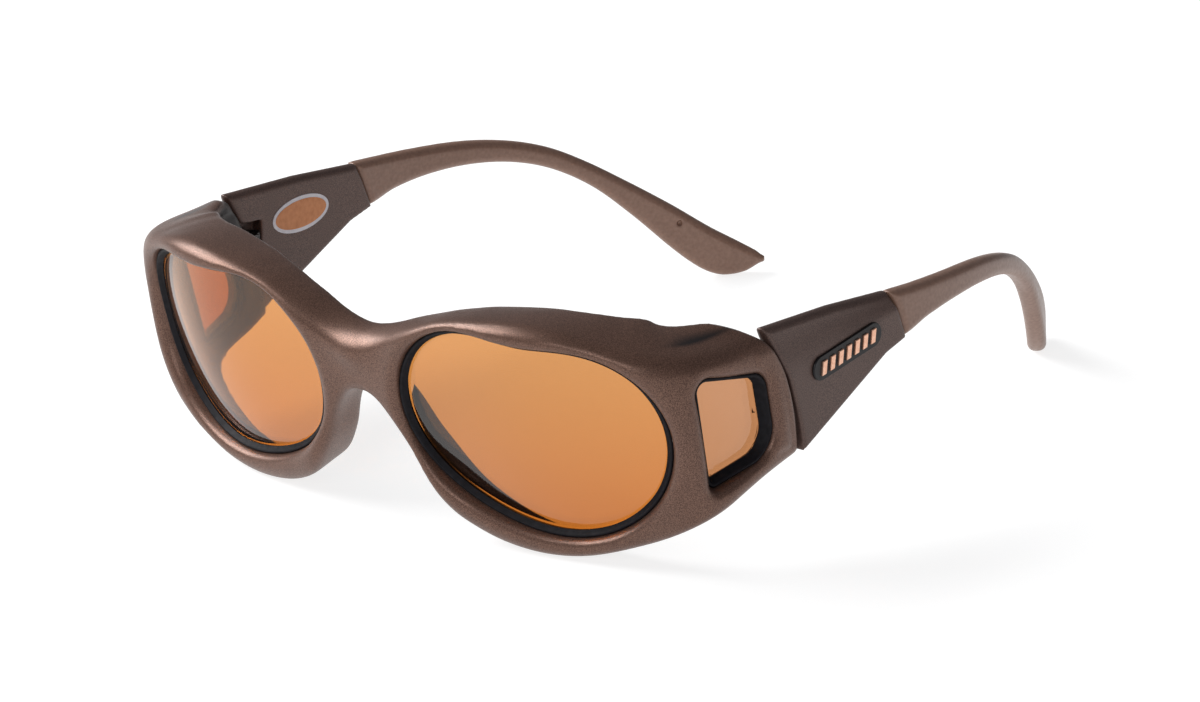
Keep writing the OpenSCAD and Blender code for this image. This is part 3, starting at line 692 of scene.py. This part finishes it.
def painted_plastic(name, dark, light, rough, metallic, speckle=0.5, inside=None):
    """Soft-touch paint: metallic speckle, faint clouding and a fine orange-peel bump; an inside colour, if
    given, is painted shade on the hollow inside.
    """
    material, nodes, links, shader = new_material(name)
    coords = nodes.new("ShaderNodeTexCoord")
    fine = noise(nodes, links, 5200, 2, coords, 0.7)
    cloud = noise(nodes, links, 60, 3, coords)
    flakes = ramp(nodes, links, fine.outputs["Fac"], 0.36, 0.68, dark, light)
    tint = ramp(nodes, links, cloud.outputs["Fac"], 0.3, 0.7, grey(0.92), grey(1.06))
    result = multiply(nodes, links, flakes.outputs["Color"], tint.outputs["Color"])
    # The inside colour is painted shade: it darkens the front's hollow inside, where shade falls
    if inside:
        share = nodes.new("ShaderNodeAttribute")
        share.attribute_name = "inside"
        painted_shade_mix = nodes.new("ShaderNodeMix")
        painted_shade_mix.data_type = "RGBA"
        painted_shade_mix.inputs["B"].default_value = (*inside, 1)
        links.new(share.outputs["Fac"], painted_shade_mix.inputs["Factor"])
        links.new(result, painted_shade_mix.inputs["A"])
        result = painted_shade_mix.outputs["Result"]
    links.new(result, shader.inputs["Base Color"])
    gloss = ramp(nodes, links, fine.outputs["Fac"], 0.3, 0.75, grey(rough + 0.06), grey(rough - 0.08))
    links.new(gloss.outputs["Color"], shader.inputs["Roughness"])
    shader.inputs["Metallic"].default_value = metallic
    shader.inputs["Specular IOR Level"].default_value = 0.5
    bump(nodes, links, fine.outputs["Fac"], speckle, 0.00003, shader)
    return material


# Heights in the frame, in metres, between which a lens's tint changes
TINT_HEIGHTS = (0.004, 0.044)


def lens_material(name, low, color, rough):
    """Tinted clear plastic, its tint from low at the bottom to color at the top."""
    material, nodes, links, shader = new_material(name)
    coords = nodes.new("ShaderNodeTexCoord")
    haze = noise(nodes, links, 90, 2, coords)
    tone = ramp(nodes, links, haze.outputs["Fac"], 0.3, 0.7, grey(0.985), grey(1))
    axes = nodes.new("ShaderNodeSeparateXYZ")
    links.new(coords.outputs["Object"], axes.inputs["Vector"])
    height = nodes.new("ShaderNodeMapRange")
    height.inputs["From Min"].default_value = TINT_HEIGHTS[0]
    height.inputs["From Max"].default_value = TINT_HEIGHTS[1]
    links.new(axes.outputs["Z"], height.inputs["Value"])
    fade = ramp(nodes, links, height.outputs["Result"], 0, 1, low, color)
    result = multiply(nodes, links, fade.outputs["Color"], tone.outputs["Color"])
    links.new(result, shader.inputs["Base Color"])
    gloss = ramp(nodes, links, haze.outputs["Fac"], 0.3, 0.7, grey(rough), grey(rough + 0.01))
    links.new(gloss.outputs["Color"], shader.inputs["Roughness"])
    shader.inputs["Transmission Weight"].default_value = 1
    shader.inputs["IOR"].default_value = 1.5
    return material


def plain_material(name, dark, light, rough, metallic=0.0, scale=900, depth=0.00002, coat=0.0,
                   specular=0.5):
    """Moulded plastic, rubber or metal with a fine grain."""
    material, nodes, links, shader = new_material(name)
    coords = nodes.new("ShaderNodeTexCoord")
    grain = noise(nodes, links, scale, 4, coords)
    tone = ramp(nodes, links, grain.outputs["Fac"], 0.3, 0.7, dark, light)
    links.new(tone.outputs["Color"], shader.inputs["Base Color"])
    gloss = ramp(nodes, links, grain.outputs["Fac"], 0.3, 0.7, grey(rough + 0.05), grey(rough - 0.05))
    links.new(gloss.outputs["Color"], shader.inputs["Roughness"])
    shader.inputs["Metallic"].default_value = metallic
    shader.inputs["Coat Weight"].default_value = coat
    shader.inputs["Specular IOR Level"].default_value = specular
    bump(nodes, links, grain.outputs["Fac"], 0.4, depth, shader)
    return material


# The bronze's near-black inside colour is painted shade for the front's hollow inside
BRONZE = painted_plastic("bronze_paint", (0.066, 0.033, 0.023), (0.215, 0.116, 0.082), 0.38, 0.5,
                         inside=(0.016, 0.012, 0.012))
# The arms' bronze is the frame's bronze made darker: painted shade for the arms' side faces
ARM_BRONZE_PAINTED_SHADE = painted_plastic("arm_bronze_paint", (0.056, 0.033, 0.028), (0.135, 0.080, 0.064), 0.44, 0.35)
SATIN = plain_material("satin_rear", (0.190, 0.104, 0.072), (0.235, 0.134, 0.095), 0.36, 0.1, 1400)
LENS = lens_material("amber_lens", (0.56, 0.16, 0.018), (0.66, 0.285, 0.075), 0.02)
SIDE_LENS = lens_material("amber_side_lens", (0.47, 0.20, 0.08), (0.54, 0.25, 0.11), 0.05)
# Near-black seal: partly the black seal itself, partly painted shade for the rims' inner walls in the
# recess
SEAL = plain_material("black_seal_and_painted_shade", (0.005, 0.0045, 0.006), (0.010, 0.009, 0.012), 0.6, specular=0.16)
# Hinge steel made near-black: real steel, its darkness painted shade for the recess the hinge sits in
STEEL = plain_material("hinge_steel", (0.040, 0.037, 0.037), (0.075, 0.070, 0.069), 0.40, 1.0, 2200)
BADGE = plain_material("badge_black", (0.005, 0.004, 0.005), (0.010, 0.008, 0.009), 0.42, 0.0, 700, 0.00001,
                       0.1, 0.25)
COPPER = plain_material("badge_copper", (0.78, 0.42, 0.28), (0.90, 0.55, 0.40), 0.35, 0.85, 1800)
LABEL_RIM = plain_material("label_rim", (0.52, 0.50, 0.54), (0.60, 0.58, 0.62), 0.5)
LABEL_FIELD = plain_material("label_field", (0.45, 0.16, 0.05), (0.55, 0.21, 0.07), 0.5)


# ---------------------------------------------------------------- building the pieces
def set_cad_material(node, material):
    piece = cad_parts[node]
    if not piece.data.materials:
        piece.data.materials.append(material)
    for slot in piece.material_slots:
        slot.material = material


points, faces, inner = front_mesh()
front = make_piece("front_moulding", points, faces, BRONZE, "front", "frame_bronze", ["front_frame"])
# The inside attribute holds how much painted shade darkens each point of the hollow inside
shade = front.data.attributes.new("inside", "FLOAT", "POINT")
shade.data.foreach_set("value", inner.astype(np.float32))

lens = plate_mesh(lens_edge(SEAL_WALL + 2 * FIT_GAP), -LENS_RECESS, -LENS_RECESS - LENS_THICK, 24)
side_lens = plate_mesh(window_edge(SEAL_WALL + 2 * FIT_GAP), -SIDE_RECESS,
                       -SIDE_RECESS - SIDE_THICK, 10)
# The seal strips line the openings' inner walls; their black also stands as painted shade there
lens_seal = strip_mesh(lens_edge, -SEAL_RECESS[0], -RIM_WALL + SEAL_SHY, -LENS_RECESS)
side_seal = strip_mesh(window_edge, -SEAL_RECESS[1], -SHIELD_WALL + SEAL_SHY, -SIDE_RECESS)
arm = arm_mesh()
rear = rear_mesh()
plate = bevelled_plate(pill(*BADGE_SIZE), 0, PLATE_PROUD, 0.2)
bars = badge_bars()

for name, grow, base, height, material in (("label_rim", 0.0, 0.0, 0.10, LABEL_RIM),
                                           ("label_field", -0.75, 0.05, 0.10, LABEL_FIELD)):
    t = np.linspace(0, 2 * np.pi, 96, endpoint=False)
    oval = np.stack([(LABEL_SIZE[0] / 2 + grow) * np.cos(t), (LABEL_SIZE[1] / 2 + grow) * np.sin(t)], -1)
    p, f = bevelled_plate(oval, base, height, 0.04)
    place = np.stack([SIDE_X - ARM_THICK - p[:, 2], LABEL_AT[0] + p[:, 0], LABEL_AT[1] + p[:, 1]], -1)
    make_piece(name, toe_in(place), [q[::-1] for q in f], material, "temple_right", "label_print",
               ["inner_label_right"] if grow == 0 else (), mirrored=True, smooth=False)

for side, mirrored in (("left", False), ("right", True)):
    temple = "temple_" + side
    make_piece("lens_moulded_" + side, *lens, LENS, "front", "amber_lens",
               ["lens_" + side], mirrored)
    make_piece("side_lens_moulded_" + side, *side_lens, SIDE_LENS, "front", "amber_side_lens",
               ["side_lens_" + side], mirrored)
    make_piece("lens_seal_strip_" + side, *lens_seal, SEAL, "front", "seal_black",
               ["lens_seal_" + side], mirrored)
    make_piece("side_seal_strip_" + side, *side_seal, SEAL, "front", "seal_black",
               ["side_seal_" + side], mirrored)
    make_piece("arm_moulding_" + side, *arm, ARM_BRONZE_PAINTED_SHADE, temple, "arm_bronze",
               ["temple_arm_" + side], mirrored)
    make_piece("rear_moulding_" + side, *rear, SATIN, temple, "rear_satin",
               ["temple_rear_" + side], mirrored)
    make_piece("badge_plate_moulded_" + side, on_arm(plate[0]), plate[1], BADGE, temple,
               "badge_black", ["badge_plate_" + side], mirrored, smooth=False)
    make_piece("badge_bars_moulded_" + side, on_arm(bars[0]), bars[1], COPPER, temple,
               "badge_copper", ["badge_bars_" + side], mirrored, smooth=False)
    for node in ("hinge_front_leaf_", "hinge_temple_leaf_", "hinge_screw_", "temple_wire_"):
        set_cad_material(node + side, STEEL)


# ---------------------------------------------------------------- stage, camera and light
def add_floor():
    bpy.ops.mesh.primitive_plane_add(size=6, location=(0, 1.0, 0))
    floor = bpy.context.object
    floor.name = "floor"
    material, nodes, links, shader = new_material("floor_white")
    coords = nodes.new("ShaderNodeTexCoord")
    grain = noise(nodes, links, 3, 2, coords)
    tone = ramp(nodes, links, grain.outputs["Fac"], 0.3, 0.7, grey(0.30), grey(0.32))
    links.new(tone.outputs["Color"], shader.inputs["Base Color"])
    shader.inputs["Roughness"].default_value = 0.9
    shader.inputs["Emission Color"].default_value = (1, 1, 1, 1)
    shader.inputs["Emission Strength"].default_value = 0.80
    floor.data.materials.append(material)


def add_area(name, place, target, size, power, color=(1, 1, 1)):
    light = bpy.data.lights.new(name, "AREA")
    light.shape = "RECTANGLE"
    light.size, light.size_y = size
    light.energy = power
    light.color = color
    lamp = bpy.data.objects.new(name, light)
    lamp.location = place
    direction = Vector(target) - Vector(place)
    lamp.rotation_euler = direction.to_track_quat("-Z", "Y").to_euler()
    bpy.context.scene.collection.objects.link(lamp)
    return lamp


# The camera: its place in the layout, its angles, and its lens as lengths on a sensor
# 36 mm wide, with the shifts as shares of that width
SENSOR_WIDTH = 36
FOCAL_LENGTH = 192.87579
CENTRE_SHIFT = (0.02386, 0.00031)
CAMERA_AT = np.array([793.667, -782.161, 428.137])
AZIMUTH, ELEVATION, ROLL = math.radians(43), math.radians(19.33), math.radians(-2.698)


def add_camera():
    data = bpy.data.cameras.new("camera")
    data.sensor_fit = "HORIZONTAL"
    data.sensor_width = SENSOR_WIDTH
    data.lens = FOCAL_LENGTH
    data.shift_x, data.shift_y = CENTRE_SHIFT
    data.clip_end = 20
    camera = bpy.data.objects.new("camera", data)
    back = Vector((math.sin(AZIMUTH) * math.cos(ELEVATION),
                   -math.cos(AZIMUTH) * math.cos(ELEVATION), math.sin(ELEVATION)))
    right = Vector((math.cos(AZIMUTH), math.sin(AZIMUTH), 0))
    up = back.cross(right)
    x = right * math.cos(ROLL) + up * math.sin(ROLL)
    y = up * math.cos(ROLL) - right * math.sin(ROLL)
    matrix = Matrix((x, y, back)).transposed().to_4x4()
    matrix.translation = Vector(to_frame(CAMERA_AT))
    camera.matrix_world = matrix
    bpy.context.scene.collection.objects.link(camera)
    bpy.context.scene.camera = camera


def set_world():
    world = bpy.data.worlds.new("studio")
    bpy.context.scene.world = world
    world.use_nodes = True
    background = world.node_tree.nodes["Background"]
    background.inputs["Color"].default_value = (0.93, 0.95, 1.0, 1)
    background.inputs["Strength"].default_value = 0.22


add_floor()
add_camera()
set_world()
add_area("key", (-1.0, -0.45, 0.85), (0, -0.03, 0.02), (1.2, 0.7), 27)
add_area("front_fill", (0.6, -1.4, 0.7), (0, -0.05, 0.02), (0.7, 0.5), 5)
bpy.context.scene.view_settings.view_transform = "Standard"
bpy.context.scene.view_settings.look = "None"
